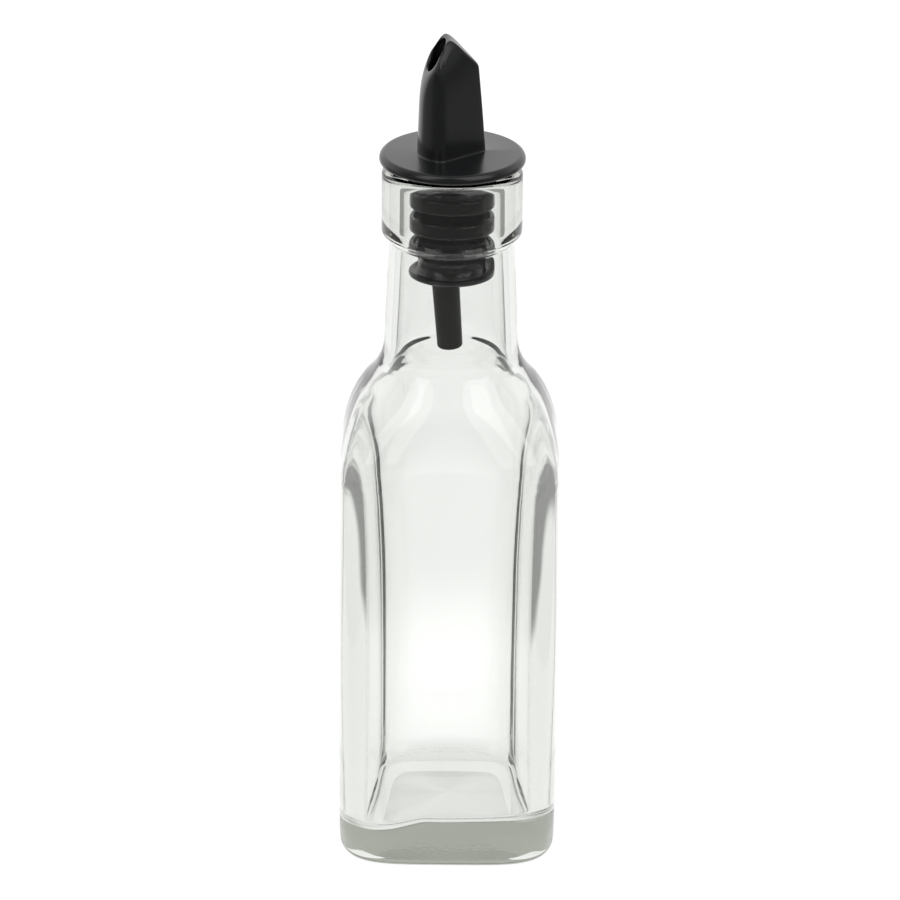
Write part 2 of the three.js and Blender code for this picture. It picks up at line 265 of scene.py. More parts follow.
@dataclass(frozen=True)
class MouldedGlass:
    """Clear soda-lime glass blown in a mould, fire-polished outside.

    To the eye it has almost no colour face on, and a grey-green cast where light runs far through the base
    and the corners. Reflections are sharp, and what is seen through the walls wobbles slowly.
    """

    skin_hex: str = "#fdfefd"
    ior: float = 1.52
    roughness: float = 0.0
    absorption_hex: str = "#d1d3cd"
    absorption_density: float = 64.0
    ripple_mm: float = 16.0
    ripple_depth_mm: float = 0.05
    stipple_mm: float = 1.3
    stipple_depth_mm: float = 0.04
    pad_half_mm: tuple[float, float, float] = (13.0, 10.0, 3.0)
    pad_forward_mm: float = 5.0
    pad_fade: float = 0.25

    def material(self) -> bpy.types.Material:
        """Builds the glass: a long ripple all over, and an oval pad of stipple under the base.

        Returns:
            The material.
        """
        material = new_material("soda_lime_glass_mould_blown")
        tree = material.node_tree
        place = add_node(tree, "ShaderNodeTexCoord", {}).outputs["Object"]
        # The blown wall is not quite flat, so straight edges behind it waver.
        ripple = add_node(
            tree,
            "ShaderNodeTexNoise",
            {"Vector": place, "Scale": per_metre(self.ripple_mm), "Detail": 1.0, "Roughness": 0.4},
        )
        waved = add_node(
            tree,
            "ShaderNodeBump",
            {"Height": ripple.outputs["Fac"], "Distance": self.ripple_depth_mm * MM, "Strength": 1.0},
        )
        # The mould's stippled pad scatters the light in the base. Real stipple is finer than a pixel, so it
        # is drawn as coarse as it needs to show.
        centred = add_node(
            tree,
            "ShaderNodeMapping",
            {
                "Vector": place,
                "Location": (0, self.pad_forward_mm / self.pad_half_mm[1], 0),
                "Scale": tuple(per_metre(half) for half in self.pad_half_mm),
            },
        )
        oval = add_node(
            tree,
            "ShaderNodeTexGradient",
            {"Vector": centred.outputs["Vector"]},
            gradient_type="SPHERICAL",
        )
        pad = add_node(
            tree,
            "ShaderNodeMapRange",
            {"Value": oval.outputs["Fac"], "From Min": 0.0, "From Max": self.pad_fade},
        )
        stipple = add_node(
            tree,
            "ShaderNodeTexVoronoi",
            {"Vector": place, "Scale": per_metre(self.stipple_mm)},
            feature="SMOOTH_F1",
        )
        knurled = add_node(
            tree,
            "ShaderNodeBump",
            {
                "Height": stipple.outputs["Distance"],
                "Distance": self.stipple_depth_mm * MM,
                "Strength": pad.outputs["Result"],
                "Normal": waved.outputs["Normal"],
            },
        )
        shader = add_node(
            tree,
            "ShaderNodeBsdfPrincipled",
            {
                "Base Color": linear(self.skin_hex),
                "Roughness": self.roughness,
                "IOR": self.ior,
                "Transmission Weight": 1.0,
                "Normal": knurled.outputs["Normal"],
            },
        )
        # Iron in the glass takes a little red and blue along the way, so thick parts look grey-green.
        tint = add_node(
            tree,
            "ShaderNodeVolumeAbsorption",
            {"Color": linear(self.absorption_hex), "Density": self.absorption_density},
        )
        add_node(
            tree,
            "ShaderNodeOutputMaterial",
            {"Surface": shader.outputs["BSDF"], "Volume": tint.outputs["Volume"]},
        )
        return material


@dataclass(frozen=True)
class MouldedPlastic:
    """Plastic from a spark-eroded steel mould or die.

    To the eye it is an even dark satin, whose soft highlights change a little in width from place to place.
    """

    name: str
    colour_hex: str
    light_hex: str
    roughness_low: float
    roughness_high: float
    specular: float = 0.5
    ior: float = 1.5
    mottle_mm: float = 6.0
    grain_mm: float = 0.35
    grain_depth_mm: float = 0.004

    def material(self) -> bpy.types.Material:
        """Builds the plastic: mottled colour and gloss over a fine grain in the normal.

        Returns:
            The material.
        """
        material = new_material(self.name)
        tree = material.node_tree
        place = add_node(tree, "ShaderNodeTexCoord", {}).outputs["Object"]
        # Melt that cooled unevenly: colour and gloss drift slowly over the skin.
        mottle = add_node(
            tree,
            "ShaderNodeTexNoise",
            {"Vector": place, "Scale": per_metre(self.mottle_mm), "Detail": 3.0},
        ).outputs["Fac"]
        colour = add_node(tree, "ShaderNodeMix", {"Factor": mottle}, data_type="RGBA")
        for name, value in (("A", self.colour_hex), ("B", self.light_hex)):
            socket = next(s for s in colour.inputs if s.name == name and s.type == "RGBA")
            socket.default_value = linear(value)
        gloss = add_node(
            tree,
            "ShaderNodeMapRange",
            {"Value": mottle, "To Min": self.roughness_low, "To Max": self.roughness_high},
        )
        # The mould's grain breaks up the edges of highlights. It is drawn coarser than the real one to show.
        grain = add_node(
            tree,
            "ShaderNodeTexNoise",
            {"Vector": place, "Scale": per_metre(self.grain_mm), "Detail": 2.0},
        )
        grained = add_node(
            tree,
            "ShaderNodeBump",
            {"Height": grain.outputs["Fac"], "Distance": self.grain_depth_mm * MM, "Strength": 1.0},
        )
        shader = add_node(
            tree,
            "ShaderNodeBsdfPrincipled",
            {
                "Base Color": next(s for s in colour.outputs if s.type == "RGBA"),
                "Roughness": gloss.outputs["Result"],
                "IOR": self.ior,
                "Specular IOR Level": self.specular,
                "Normal": grained.outputs["Normal"],
            },
        )
        add_node(tree, "ShaderNodeOutputMaterial", {"Surface": shader.outputs["BSDF"]})
        return material


@dataclass(frozen=True)
class PaleFloor:
    """Matt pale table sheet whose own glow paints a soft-edged light panel, with a painted pool of light
    close behind the bottle.

    To the eye it is a plain white ground. The panel's bounds show only as grey streaks in the glass.
    """

    colour_hex: str = "#70706f"
    side_glow: float = 0.21
    panel_glow: float = 0.73
    panel_half_mm: tuple[float, float] = (139.0, 157.0)
    panel_shift_mm: float = -7.0
    panel_widening: float = 0.3
    far_widening: float = 1.6
    far_start_mm: float = 150.0
    panel_front_mm: tuple[float, float] = (-140.0, -210.0)
    panel_back_mm: tuple[float, float] = (5000.0, 5900.0)
    # Painted pool of light: a glow in the sheet close behind the bottle, with no lamp.
    painted_pool_glow: float = 0.16
    painted_pool_radius_mm: float = 70.0
    painted_pool_behind_mm: float = 85.0
    roughness: float = 0.9
    specular: float = 0.1

    def material(self) -> bpy.types.Material:
        """Builds the sheet: matt, its painted glow the panel's soft-edged oblong plus the painted pool of
        light.

        Returns:
            The material.
        """
        material = new_material("matt_pale_table_sheet")
        tree = material.node_tree
        place = add_node(tree, "ShaderNodeTexCoord", {}).outputs["Object"]
        axes = add_node(tree, "ShaderNodeSeparateXYZ", {"Vector": place}).outputs
        # The sheet's glow is painted light: emission shaped as a soft-edged light panel, with no lamp under
        # it.
        # The panel widens slowly near the bottle and fast further back.
        aside = add_node(
            tree, "ShaderNodeMath", {0: axes["X"], 1: self.panel_shift_mm * MM}, operation="SUBTRACT"
        ).outputs[0]
        half = add_node(tree, "ShaderNodeMath", {0: aside}, operation="ABSOLUTE").outputs[0]
        near = add_node(
            tree,
            "ShaderNodeMath",
            {0: axes["Y"], 1: -self.panel_widening, 2: half},
            operation="MULTIPLY_ADD",
        ).outputs[0]
        start, end = self.far_start_mm, self.panel_back_mm[1]
        widening = add_node(
            tree,
            "ShaderNodeMapRange",
            {
                "Value": axes["Y"],
                "From Min": start * MM,
                "From Max": end * MM,
                "To Min": 0.0,
                "To Max": self.far_widening * (end - start) * MM,
            },
        ).outputs["Result"]
        across = add_node(tree, "ShaderNodeMath", {0: near, 1: widening}, operation="SUBTRACT").outputs[0]
        panel: bpy.types.NodeSocket | float = self.panel_glow
        edges = (
            (across, self.panel_half_mm, self.side_glow),
            (axes["Y"], self.panel_front_mm, 0.0),
            (axes["Y"], self.panel_back_mm, 0.0),
        )
        for way, (full, none), outside in edges:
            fade = add_node(
                tree,
                "ShaderNodeMapRange",
                {"Value": way, "From Min": none * MM, "From Max": full * MM},
                interpolation_type="SMOOTHSTEP",
            )
            panel = add_node(
                tree,
                "ShaderNodeMath",
                {0: fade.outputs["Result"], 1: panel, 2: outside},
                operation="MULTIPLY_ADD",
            ).outputs[0]
        # Painted pool of light: a glow with no lamp behind it, which whitens what is seen through the lower
        # body.
        scale = per_metre(self.painted_pool_radius_mm)
        centred = add_node(
            tree,
            "ShaderNodeMapping",
            {
                "Vector": place,
                "Location": (0, -self.painted_pool_behind_mm / self.painted_pool_radius_mm, 0),
                "Scale": (scale, scale, scale),
            },
        )
        round_painted_pool = add_node(
            tree,
            "ShaderNodeTexGradient",
            {"Vector": centred.outputs["Vector"]},
            gradient_type="SPHERICAL",
        )
        pool = add_node(
            tree,
            "ShaderNodeMapRange",
            {"Value": round_painted_pool.outputs["Fac"], "To Min": 0.0, "To Max": self.painted_pool_glow},
            interpolation_type="SMOOTHSTEP",
        )
        glow = add_node(tree, "ShaderNodeMath", {0: panel, 1: pool.outputs["Result"]})
        shader = add_node(
            tree,
            "ShaderNodeBsdfPrincipled",
            {
                "Base Color": linear(self.colour_hex),
                "Roughness": self.roughness,
                "Specular IOR Level": self.specular,
                "Emission Color": (1.0, 1.0, 1.0, 1.0),
                "Emission Strength": glow.outputs[0],
            },
        )
        add_node(tree, "ShaderNodeOutputMaterial", {"Surface": shader.outputs["BSDF"]})
        return material


@dataclass
class GlassBottle:
    """The bottle: square body, oval shoulder, round neck and finish ring, with its hollow inside."""

    finish: MouldedGlass
    body_swell: float = 0.4
    corner_radius: float = 9.5
    heel_radius: float = 2.6
    heel_corner_radius: float = 12.0
    heel_blend: float = 9.0
    punt_depth: float = 0.02
    punt_share: float = 0.76
    wall: float = 2.7
    inner_corner_radius: float = 13.0
    floor_thickness: float = 8.6
    floor_dish: float = 0.5
    floor_fillet_width: float = 2.8
    floor_fillet_height: float = 3.2
    floor_front_rise: float = 2.2
    floor_left_dip: float = 5.9
    floor_wave: float = 0.25
    floor_wave_phase: float = 0.2
    floor_run_up: float = 10.0
    floor_edge_power: float = 1.5
    dip_start: float = 0.2
    dip_span: float = 0.65
    inner_wave: float = 0.1
    wave_foot_fade: float = 14.0
    wave_top: float = 112.0
    wave_top_fade: float = 16.0
    wave_lengths: tuple[float, float] = (23.0, 31.0)
    wave_phase: float = 2.1
    wave_second: float = 0.8
    thin_corner: float = 0.35
    thin_height: float = 98.0
    thin_spread: float = 16.0
    shoulder_start: float = 92.2
    shoulder_rise: float = 24.7
    shoulder_level: float = 11.3
    shoulder_side_power: float = 1.98
    shoulder_top_power: float = 1.69
    shoulder_corner_power: float = 0.8
    neck_fillet: float = 4.0
    neck_fillet_rise: float = 5.0
    neck_low_radius: float = 15.1
    neck_high_radius: float = 14.15
    ring_radius: float = 15.85
    ring_height: float = 15.2
    ring_undercut: float = 1.7
    ring_edge: float = 2.0
    ring_foot_edge: float = 0.5
    neck_wall: float = 3.0
    bore_radius: float = 10.9
    bore_widening: float = 8.0
    inner_softness: float = 2.5
    bell_reach: float = 2.5
    inner_steps: int = 121
    shoulder_steps: int = 61
    punt_steps: int = 17
    swell_steps: int = 41
    bore_edge: float = 1.0
    pole: float = 0.4
    columns: int = 224
    corner_packing: float = 0.15
    height: float = field(init=False)
    half: float = field(init=False)
    inner_half: float = field(init=False)

    def __post_init__(self) -> None:
        """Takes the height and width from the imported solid."""
        _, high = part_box("bottle")
        self.height = high[2] / MM
        self.half = high[0] / MM - self.body_swell
        self.inner_half = self.half - self.wall

    def upper_curve(self) -> Array:
        """Half-width and height up the shoulder, round the hollow above it and up the neck to its ring.

        The shoulder is a quarter oval with uneven powers of cosine and sine. The hollow is a quadratic curve
        that leaves along the shoulder's last stretch and ends upright.

        Returns:
            Points, one a row, from the shoulder's foot.
        """
        level, narrow = self.shoulder_level, self.neck_low_radius + self.neck_fillet
        last = math.acos(((narrow - level) / (self.half - level)) ** (self.shoulder_side_power / 2))
        angle = np.linspace(0, last, self.shoulder_steps)
        inward = np.cos(angle) ** (2 / self.shoulder_side_power)
        upward = np.sin(angle) ** (2 / self.shoulder_top_power)
        across = level + (self.half - level) * inward
        shoulder = np.stack([across, self.shoulder_start + self.shoulder_rise * upward], -1)
        step = shoulder[-1] - shoulder[-2]
        corner = shoulder[-1] + step * self.neck_fillet / -step[0]
        foot = corner + np.array([0, self.neck_fillet_rise])
        ring_low = self.height - self.ring_height
        top = (self.neck_high_radius, ring_low - self.ring_undercut - self.ring_foot_edge)
        hollow = bend(shoulder[-1], corner, foot, steps=20)
        return np.concatenate([shoulder, hollow, line(tuple(foot), top, steps=30)])

    def inner_upper_curve(self) -> Array:
        """The upper curve moved in along its normal by the glass's thickness, and narrowed to the bore.

        The thickness goes from wall to neck wall, and the bore narrows, by smooth cubic steps of the height.
        The curve is then evened out along its length with a bell-shaped average, as blown glass is smooth
        inside.

        Returns:
            Points, one a row, from the shoulder's foot up to the ring.
        """
        outer = self.upper_curve()
        along = np.gradient(outer, axis=0)
        normal = np.stack([-along[:, 1], along[:, 0]], -1) / np.linalg.norm(along, axis=1)[:, None]
        share = smooth((outer[:, 1:] - self.shoulder_start) / self.shoulder_rise)
        inner = outer + normal * (self.wall + (self.neck_wall - self.wall) * share)
        ring_low = self.height - self.ring_height
        inner = np.concatenate([inner, line(tuple(inner[-1]), (inner[-1, 0], ring_low), steps=6)])
        share = smooth((ring_low - inner[:, 1]) / self.bore_widening)
        inner[:, 0] = self.bore_radius + (inner[:, 0] - self.bore_radius) * share
        run = np.concatenate([[0], np.cumsum(np.linalg.norm(np.diff(inner, axis=0), axis=1))])
        even = np.linspace(0, run[-1], self.inner_steps)
        reach = round(self.bell_reach * self.inner_softness / even[1])
        kernel = np.exp(-((np.arange(-reach, reach + 1) * even[1] / self.inner_softness) ** 2))
        kernel /= kernel.sum()
        ways = [np.pad(np.interp(even, run, way), reach, "reflect", reflect_type="odd") for way in inner.T]
        return np.stack([np.convolve(way, kernel, "valid") for way in ways], -1)

    def outer_profile(self) -> Array:
        """Half-width and height along the outside, from near the middle of the base up to the mouth.

        The punt is a parabola. The body swells by the square of a parabola of the height.

        Returns:
            Points, one a row.
        """
        bearing = self.half - self.heel_radius
        punt = bearing * self.punt_share
        bowl = np.linspace(self.pole, punt, self.punt_steps)
        swell_height = np.linspace(self.heel_blend, self.shoulder_start, self.swell_steps)[1:-1]
        share = (swell_height - self.heel_blend) / (self.shoulder_start - self.heel_blend)
        swelled = self.half + self.body_swell * (4 * share * (1 - share)) ** 2
        ring_low = self.height - self.ring_height
        neck_top = np.array([self.neck_high_radius, ring_low - self.ring_undercut])
        ring_foot = np.array([self.ring_radius, ring_low])
        slope = (ring_foot - neck_top) / np.linalg.norm(ring_foot - neck_top)
        up = np.array([0.0, 1.0])
        edge = self.ring_foot_edge
        rim = (self.ring_radius, self.height - self.ring_edge)
        lip = (self.ring_radius - self.ring_edge, self.height)
        pieces = [
            np.stack([bowl, self.punt_depth * (1 - (bowl / punt) ** 2)], -1),
            line((punt, 0), (bearing, 0), steps=6),
            quarter((bearing, 0), (self.half, self.heel_radius), Leave.LEVEL, steps=12),
            line((self.half, self.heel_radius), (self.half, self.heel_blend), steps=5),
            np.stack([swelled, swell_height], -1),
            self.upper_curve(),
            bend(neck_top - up * edge, neck_top, neck_top + slope * edge, steps=5),
            line(tuple(neck_top + slope * edge), tuple(ring_foot - slope * edge), steps=3),
            bend(ring_foot - slope * edge, ring_foot, ring_foot + up * edge, steps=5),
            line(tuple(ring_foot + up * edge), rim, steps=8),
            quarter(rim, lip, Leave.UPRIGHT, steps=10),
        ]
        return np.concatenate(pieces)

    def inner_profile(self) -> Array:
        """Half-width and height along the inside, from the mouth down to near the middle of the floor.

        Straight stretches and quarter ovals join the mouth, the inner upper curve, the wall and the floor.

        Returns:
            Points, one a row.
        """
        lip = (self.bore_radius + self.bore_edge, self.height)
        throat = (self.bore_radius, self.height - self.bore_edge)
        upper = self.inner_upper_curve()[::-1]
        fillet_top = (self.inner_half, self.floor_thickness + self.floor_fillet_height)
        floor_edge = (self.inner_half - self.floor_fillet_width, self.floor_thickness)
        pieces = [
            line((self.ring_radius - self.ring_edge, self.height), lip, steps=3),
            quarter(lip, throat, Leave.LEVEL, steps=6),
            line(throat, tuple(upper[0]), steps=6)[:-1],
            upper,
            line(tuple(upper[-1]), fillet_top, steps=46),
            quarter(fillet_top, floor_edge, Leave.UPRIGHT, steps=20),
            line(floor_edge, (self.pole, self.floor_thickness - self.floor_dish), steps=10),
        ]
        return np.concatenate(pieces)

    def corner_radii(self, profile: Array, half: float, corner: float, level: float, neck: float) -> Array:
        """Corner radius of each ring.

        It scales with the ring below the shoulder, and grows by a power of the width to a circle above.

        Args:
            profile: half-widths and heights.
            half: half-width of the body.
            corner: corner radius of the body.
            level: half-width at which the shoulder is round.
            neck: height from which every ring is round.

        Returns:
            One radius a ring.
        """
        across, height = profile.T
        share = np.clip((across - level) / (half - level), 0, 1) ** self.shoulder_corner_power
        shoulder = across * (1 - share) + corner * share
        body = corner * across / half
        return np.where(height <= self.shoulder_start, body, np.where(height > neck, across, shoulder))

    def rings(self) -> Array:
        """Rings of the whole surface: outside up, over the lip, and down the rippled inside.

        Each ring is a superellipse of the angle, with its half-width, corner radius and height from the
        profile. The angle is packed towards the corners by a fourfold sine.

        Returns:
            Points, as rings by points by three.
        """
        outer, inner = self.outer_profile(), self.inner_profile()
        neck = self.shoulder_start + self.shoulder_rise
        round_from, inner_round_from = self.neck_low_radius, self.neck_low_radius - self.neck_wall
        outer_corner = self.corner_radii(outer, self.half, self.corner_radius, round_from, neck)
        heel = smooth(1 - outer[:, 1] / self.heel_blend)
        outer_corner += heel * (self.heel_corner_radius - self.corner_radius) * outer[:, 0] / self.half
        inner_corner = self.corner_radii(
            inner, self.inner_half, self.inner_corner_radius, inner_round_from, neck
        )
        profile = np.concatenate([outer, inner])
        corner = np.minimum(np.concatenate([outer_corner, inner_corner]), profile[:, 0])[:, None]
        half = profile[:, :1].copy()
        height = np.repeat(profile[:, 1:], self.columns, 1)
        even = np.linspace(0, 2 * np.pi, self.columns, endpoint=False)[None, :]
        angle = even + self.corner_packing * (1 - corner / half) * np.sin(4 * even)
        inside = np.concatenate([np.zeros(len(outer)), np.ones(len(inner))])[:, None]
        half = half + inside * self.wall_wave(angle, height)
        height = height + inside * self.floor_ripple(angle, height, half)
        reach = soft_square_reach(half, np.minimum(corner, half), angle)
        return np.stack([reach * np.cos(angle), reach * np.sin(angle), height], -1)

    def wall_wave(self, angle: Array, height: Array) -> Array:
        """Slow unevenness of the blown inner wall: sines of angle and height, gone at floor and neck.

        Under the shoulder a fourfold cosine also pushes the corners out, where the glass was blown thin.

        Args:
            angle: polar angles.
            height: heights of the points.

        Returns:
            Change of the half-width.
        """
        foot = np.clip((height - self.floor_thickness) / self.wave_foot_fade, 0, 1)
        fade = foot * np.clip((self.wave_top - height) / self.wave_top_fade, 0, 1)
        first, second = self.wave_lengths
        wave = np.sin(3 * angle - height / first + self.wave_phase)
        wave = wave + self.wave_second * np.sin(angle + height / second)
        blown = np.exp(-(((height - self.thin_height) / self.thin_spread) ** 2)) * np.cos(4 * angle)
        return fade * (self.inner_wave * wave - self.thin_corner * blown)

    def floor_ripple(self, angle: Array, height: Array, half: Array) -> Array:
        """Uneven floor: glass has run to the front, but for a dip at the left corner, in a slow wave.

        The rise is the cube of a half-cosine round the front, less a smooth step towards the left, with a
        sine wave of the angle on top.

        Args:
            angle: polar angles.
            height: heights of the points.
            half: half-widths of the rings.

        Returns:
            Change of the height.
        """
        run_up = self.floor_fillet_height + self.floor_run_up
        low = np.clip(1 - (height - self.floor_thickness) / run_up, 0, 1)
        edge = np.clip(half / self.inner_half, 0, 1) ** self.floor_edge_power
        front = (0.5 - 0.5 * np.sin(angle)) ** 3
        left = smooth((-np.cos(angle) - self.dip_start) / self.dip_span)
        rise = front * (self.floor_front_rise - self.floor_left_dip * left)
        return low * edge * (rise + self.floor_wave * np.sin(5 * angle + self.floor_wave_phase))

    def build(self) -> bpy.types.Object:
        """Makes the glass and dresses it.

        Returns:
            The new object.
        """
        piece = skin("glass_bottle", self.rings(), close_rows=False)
        dress(piece, self.finish.material(), "bottle")
        return piece


@dataclass
class Pourer:
    """The pourer: one black moulding of finned plug, flange and slanted spout, in its own turned frame.

    Heights count from the flange's underside. The mouth opens towards -X before the turn.
    """

    finish: MouldedPlastic
    turn: float = math.radians(8)
    lift: float = 0.5
    depth: float = 28.2
    flange_radius: float = 16.4
    flange_thickness: float = 3.1
    flange_edge: float = 1.4
    flange_under_width: float = 2.2
    flange_under_height: float = 1.0
    spout_height: float = 28.0
    peak_trim: float = 0.7
    peak_forward: float = 1.4
    peak_softness: float = 0.65
    base_radius: float = 7.95
    top_radius: float = 7.0
    base_ridge: float = 8.2
    top_ridge: float = 5.3
    cheek_forward: float = 4.0
    base_cheek: float = 7.6
    cheek_taper: float = 0.7
    cheek_hollow: float = 4.0
    cheek_power: float = 4.5
    sharpness: float = 16.0
    spout_middle: float = -2.5
    spout_wall: float = 1.0
    mouth_lean: float = math.radians(28)
    mouth_length: float = 8.3
    mouth_width: float = 8.0
    mouth_drop: float = 5.4
    roof_slope: float = math.radians(47)
    rim_round: float = 3.2
    rim_stretch: float = 1.6
    ridge_round: float = 0.9
    lip_round: float = 0.5
    foot_round: float = 0.35
    plug_length: float = 25.8
    plug_radius: float = 7.5
    plug_chamfer: float = 0.5
    fin_radius: float = 9.57
    fin_depths: tuple[float, ...] = (6.8, 12.5, 18.2, 24.9)
    fin_lips: tuple[float, ...] = (3.4, 3.4, 2.2, 1.3)
    fin_thickness: float = 1.0
    fin_edge: float = 0.35
    fin_under: float = 0.7
    fin_sway: tuple[float, float] = (0.12, 0.1)
    fin_sway_phase: float = 0.5
    fin_foot_sway: float = 0.1
    flap: float = 2.6
    flap_width: float = 0.45
    flange_relief: float = 0.3
    channel_depth: float = 9.0
    channel_radius: float = 3.2
    channel_centre: tuple[float, float] = (1.7, 2.95)
    tube_centre: tuple[float, float] = (-1.75, -3.1)
    boss_drop: float = 0.3
    boss_wall: float = 0.8
    boss_edge: float = 0.3
    boss_reach: float = 6.6
    rim_share: float = 0.72
    lip_share: float = 0.25
    hollow_heights: tuple[float, ...] = (16.8, 8.4, 1.0)
    first_edge_height: float = 20.0
    edge_rounds: int = 30
    wall_steps: int = 40
    top_steps: int = 15
    columns: int = 224
    ridge_packing: float = 0.55
    seat: float = field(init=False)
    angle: Array = field(init=False)

    def __post_init__(self) -> None:
        """Takes the seat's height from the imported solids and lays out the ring's angles."""
        low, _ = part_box("pourer")
        self.seat = low[2] / MM + self.depth
        even = np.linspace(-np.pi, np.pi, self.columns, endpoint=False)
        self.angle = even - self.ridge_packing * np.sin(even)

    def ring(
        self, reach: Array | float, height: Array | float, centre: tuple[float, float] = (0, 0)
    ) -> Array:
        """One ring of points at a reach and height round a centre.

        Args:
            reach: distance from the centre, one value or one for each column.
            height: height, one value or one for each column.
            centre: middle of the ring.

        Returns:
            Points, one a row.
        """
        x = centre[0] + reach * np.cos(self.angle)
        y = centre[1] + reach * np.sin(self.angle)
        return np.stack([x, y, np.broadcast_to(height, x.shape)], -1)

    def section(self, height: Array | float, inset: float = 0.0) -> Array:
        """Reach of the spout's section from its own middle: a circle cut by two flats that meet at the back.

        The ridge where they meet leans in evenly. Each flat runs from the ridge to a cheek beside the mouth,
        which narrows with a power of the height. The inverse reaches of circle and flats are summed as high
        powers, which rounds the corners between them.

        Args:
            height: height above the flange, one value or one for each column.
            inset: wall thickness taken off.

        Returns:
            Distances from the middle.
        """
        share = np.asarray(height) / self.spout_height
        radius = self.base_radius + (self.top_radius - self.base_radius) * share - inset
        ridge = self.base_ridge + (self.top_ridge - self.base_ridge) * share
        narrowing = self.cheek_hollow * np.abs(share) ** self.cheek_power
        cheek = self.base_cheek - self.cheek_taper * share - narrowing
        side = np.arctan2(ridge + self.cheek_forward, cheek)
        flat = (ridge - self.spout_middle) * np.cos(side) - inset
        along = self.spout_middle * np.cos(self.angle)
        circle = np.sqrt(along**2 + radius**2 - self.spout_middle**2) - along
        power = self.sharpness
        total = circle**-power
        for sign in (-1, 1):
            total = total + np.maximum(0, np.cos(self.angle - sign * side) / flat) ** power
        return total ** (-1 / power)

    def wall_ring(self, height: Array | float, inset: float = 0.0) -> Array:
        """One ring of the spout's wall at a height, or at one height for each column."""
        return self.ring(self.section(height, inset), height, (self.spout_middle, 0))

    def cap(self, x: Array) -> Array:
        """Height of the spout's top: the lowest of mouth face, back slope and peak, blended by exponentials.

        Args:
            x: distance along the spout, towards its back.

        Returns:
            Heights above the flange.
        """
        ahead = x + self.peak_forward
        mouth = self.spout_height + ahead / math.tan(self.mouth_lean)
        roof = self.spout_height - ahead * math.tan(self.roof_slope)
        level = np.full_like(x, self.spout_height - self.peak_trim)
        soft = self.peak_softness
        return -soft * np.logaddexp.reduce([-mouth / soft, -roof / soft, -level / soft])

    def plug_rings(self) -> list[Array]:
        """Rings from the pour passage's end, round the boss and up the finned plug to the flange.

        The boss is a slot: two half-circles joined by straight sides, as a reach from its middle.

        Returns:
            Stacks of rings in order.
        """
        foot = -self.plug_length - self.boss_drop
        radius = self.channel_radius
        rings = [
            self.ring(radius, foot + self.channel_depth, self.channel_centre)[None],
            self.ring(radius, foot + self.boss_edge, self.channel_centre)[None],
            self.ring(radius + self.boss_edge, foot, self.channel_centre)[None],
        ]
        between = np.subtract(self.tube_centre, self.channel_centre)
        apart = np.linalg.norm(between) / 2
        middle = tuple(np.add(self.tube_centre, self.channel_centre) / 2)
        off = self.angle - math.atan2(between[1], between[0])
        wide = self.channel_radius + self.boss_wall
        side = wide / np.maximum(np.abs(np.sin(off)), 1e-6)
        along = apart * np.abs(np.cos(off))
        end = along + np.sqrt(np.maximum(0, wide**2 - (apart * np.sin(off)) ** 2))
        slot_reach = np.where(side * np.abs(np.cos(off)) <= apart, side, end)
        rings += [
            self.ring(slot_reach - self.boss_edge, foot, middle)[None],
            self.ring(slot_reach, foot + self.boss_edge, middle)[None],
            self.ring(np.minimum(slot_reach, self.boss_reach), -self.plug_length, middle)[None],
            self.ring(self.plug_radius - self.plug_chamfer, -self.plug_length)[None],
            self.ring(self.plug_radius, self.plug_chamfer - self.plug_length)[None],
        ]
        for fin in reversed(range(len(self.fin_depths))):
            rings += self.fin_rings(fin)
        rings.append(self.ring(self.plug_radius, -self.flange_relief)[None])
        return rings

    def fin_rings(self, fin: int) -> list[Array]:
        """Rings of one soft fin: out from the plug, up its turned lip, and back over its cupped top.

        The lip's height sways with two cosines of the angle, and the lowest fin has a flap folded up, a bell
        curve of the angle, at the back of the spout.

        Args:
            fin: number of the fin, counted down from the flange.

        Returns:
            Rings in order upwards.
        """
        lip = self.fin_lips[fin]
        slow, quick = self.fin_sway
        sway = slow * np.cos(self.angle + self.fin_sway_phase + fin) + quick * np.cos(3 * self.angle + fin)
        if fin == len(self.fin_depths) - 1:
            sway = sway + self.flap * np.exp(-((self.angle / self.flap_width) ** 2))
        foot = -self.fin_depths[fin] - lip / 2 + self.fin_foot_sway * sway
        edge = self.fin_edge
        inside = self.fin_radius - self.fin_thickness
        root = self.ring(self.plug_radius, foot - self.fin_thickness / 2)
        low = self.ring(self.fin_radius, foot + self.fin_under)
        high = self.ring(self.fin_radius, foot + lip + sway - edge)
        crest = self.ring(self.fin_radius - self.fin_thickness / 2, foot + lip + sway)
        back = self.ring(inside, foot + lip + sway - edge)
        hollow = self.ring(self.plug_radius, foot + self.fin_thickness)
        return [
            root[None],
            bend(root, self.ring(self.fin_radius, foot), low, steps=6),
            high[None],
            bend(high, self.ring(self.fin_radius, foot + lip + sway), crest, steps=4),
            bend(crest, self.ring(inside, foot + lip + sway), back, steps=4),
            bend(back, self.ring(inside, foot + self.fin_thickness), hollow, steps=6),
        ]

    def flange_rings(self) -> list[Array]:
        """Rings of the flange: underside, rim rounded by two quarter ovals, and flat top.

        Returns:
            Stacks of rings in order.
        """
        low, top = self.lift, self.flange_thickness
        under = (self.flange_radius - self.flange_under_width, low)
        lower = quarter(under, (self.flange_radius, low + self.flange_under_height), Leave.LEVEL, steps=10)
        rim = (self.flange_radius, top - self.flange_edge)
        upper = quarter(rim, (self.flange_radius - self.flange_edge, top), Leave.UPRIGHT, steps=12)
        rows = [(self.plug_radius + self.flange_relief, low), under, *lower, rim, *upper]
        return [self.ring(reach, height)[None] for reach, height in rows]

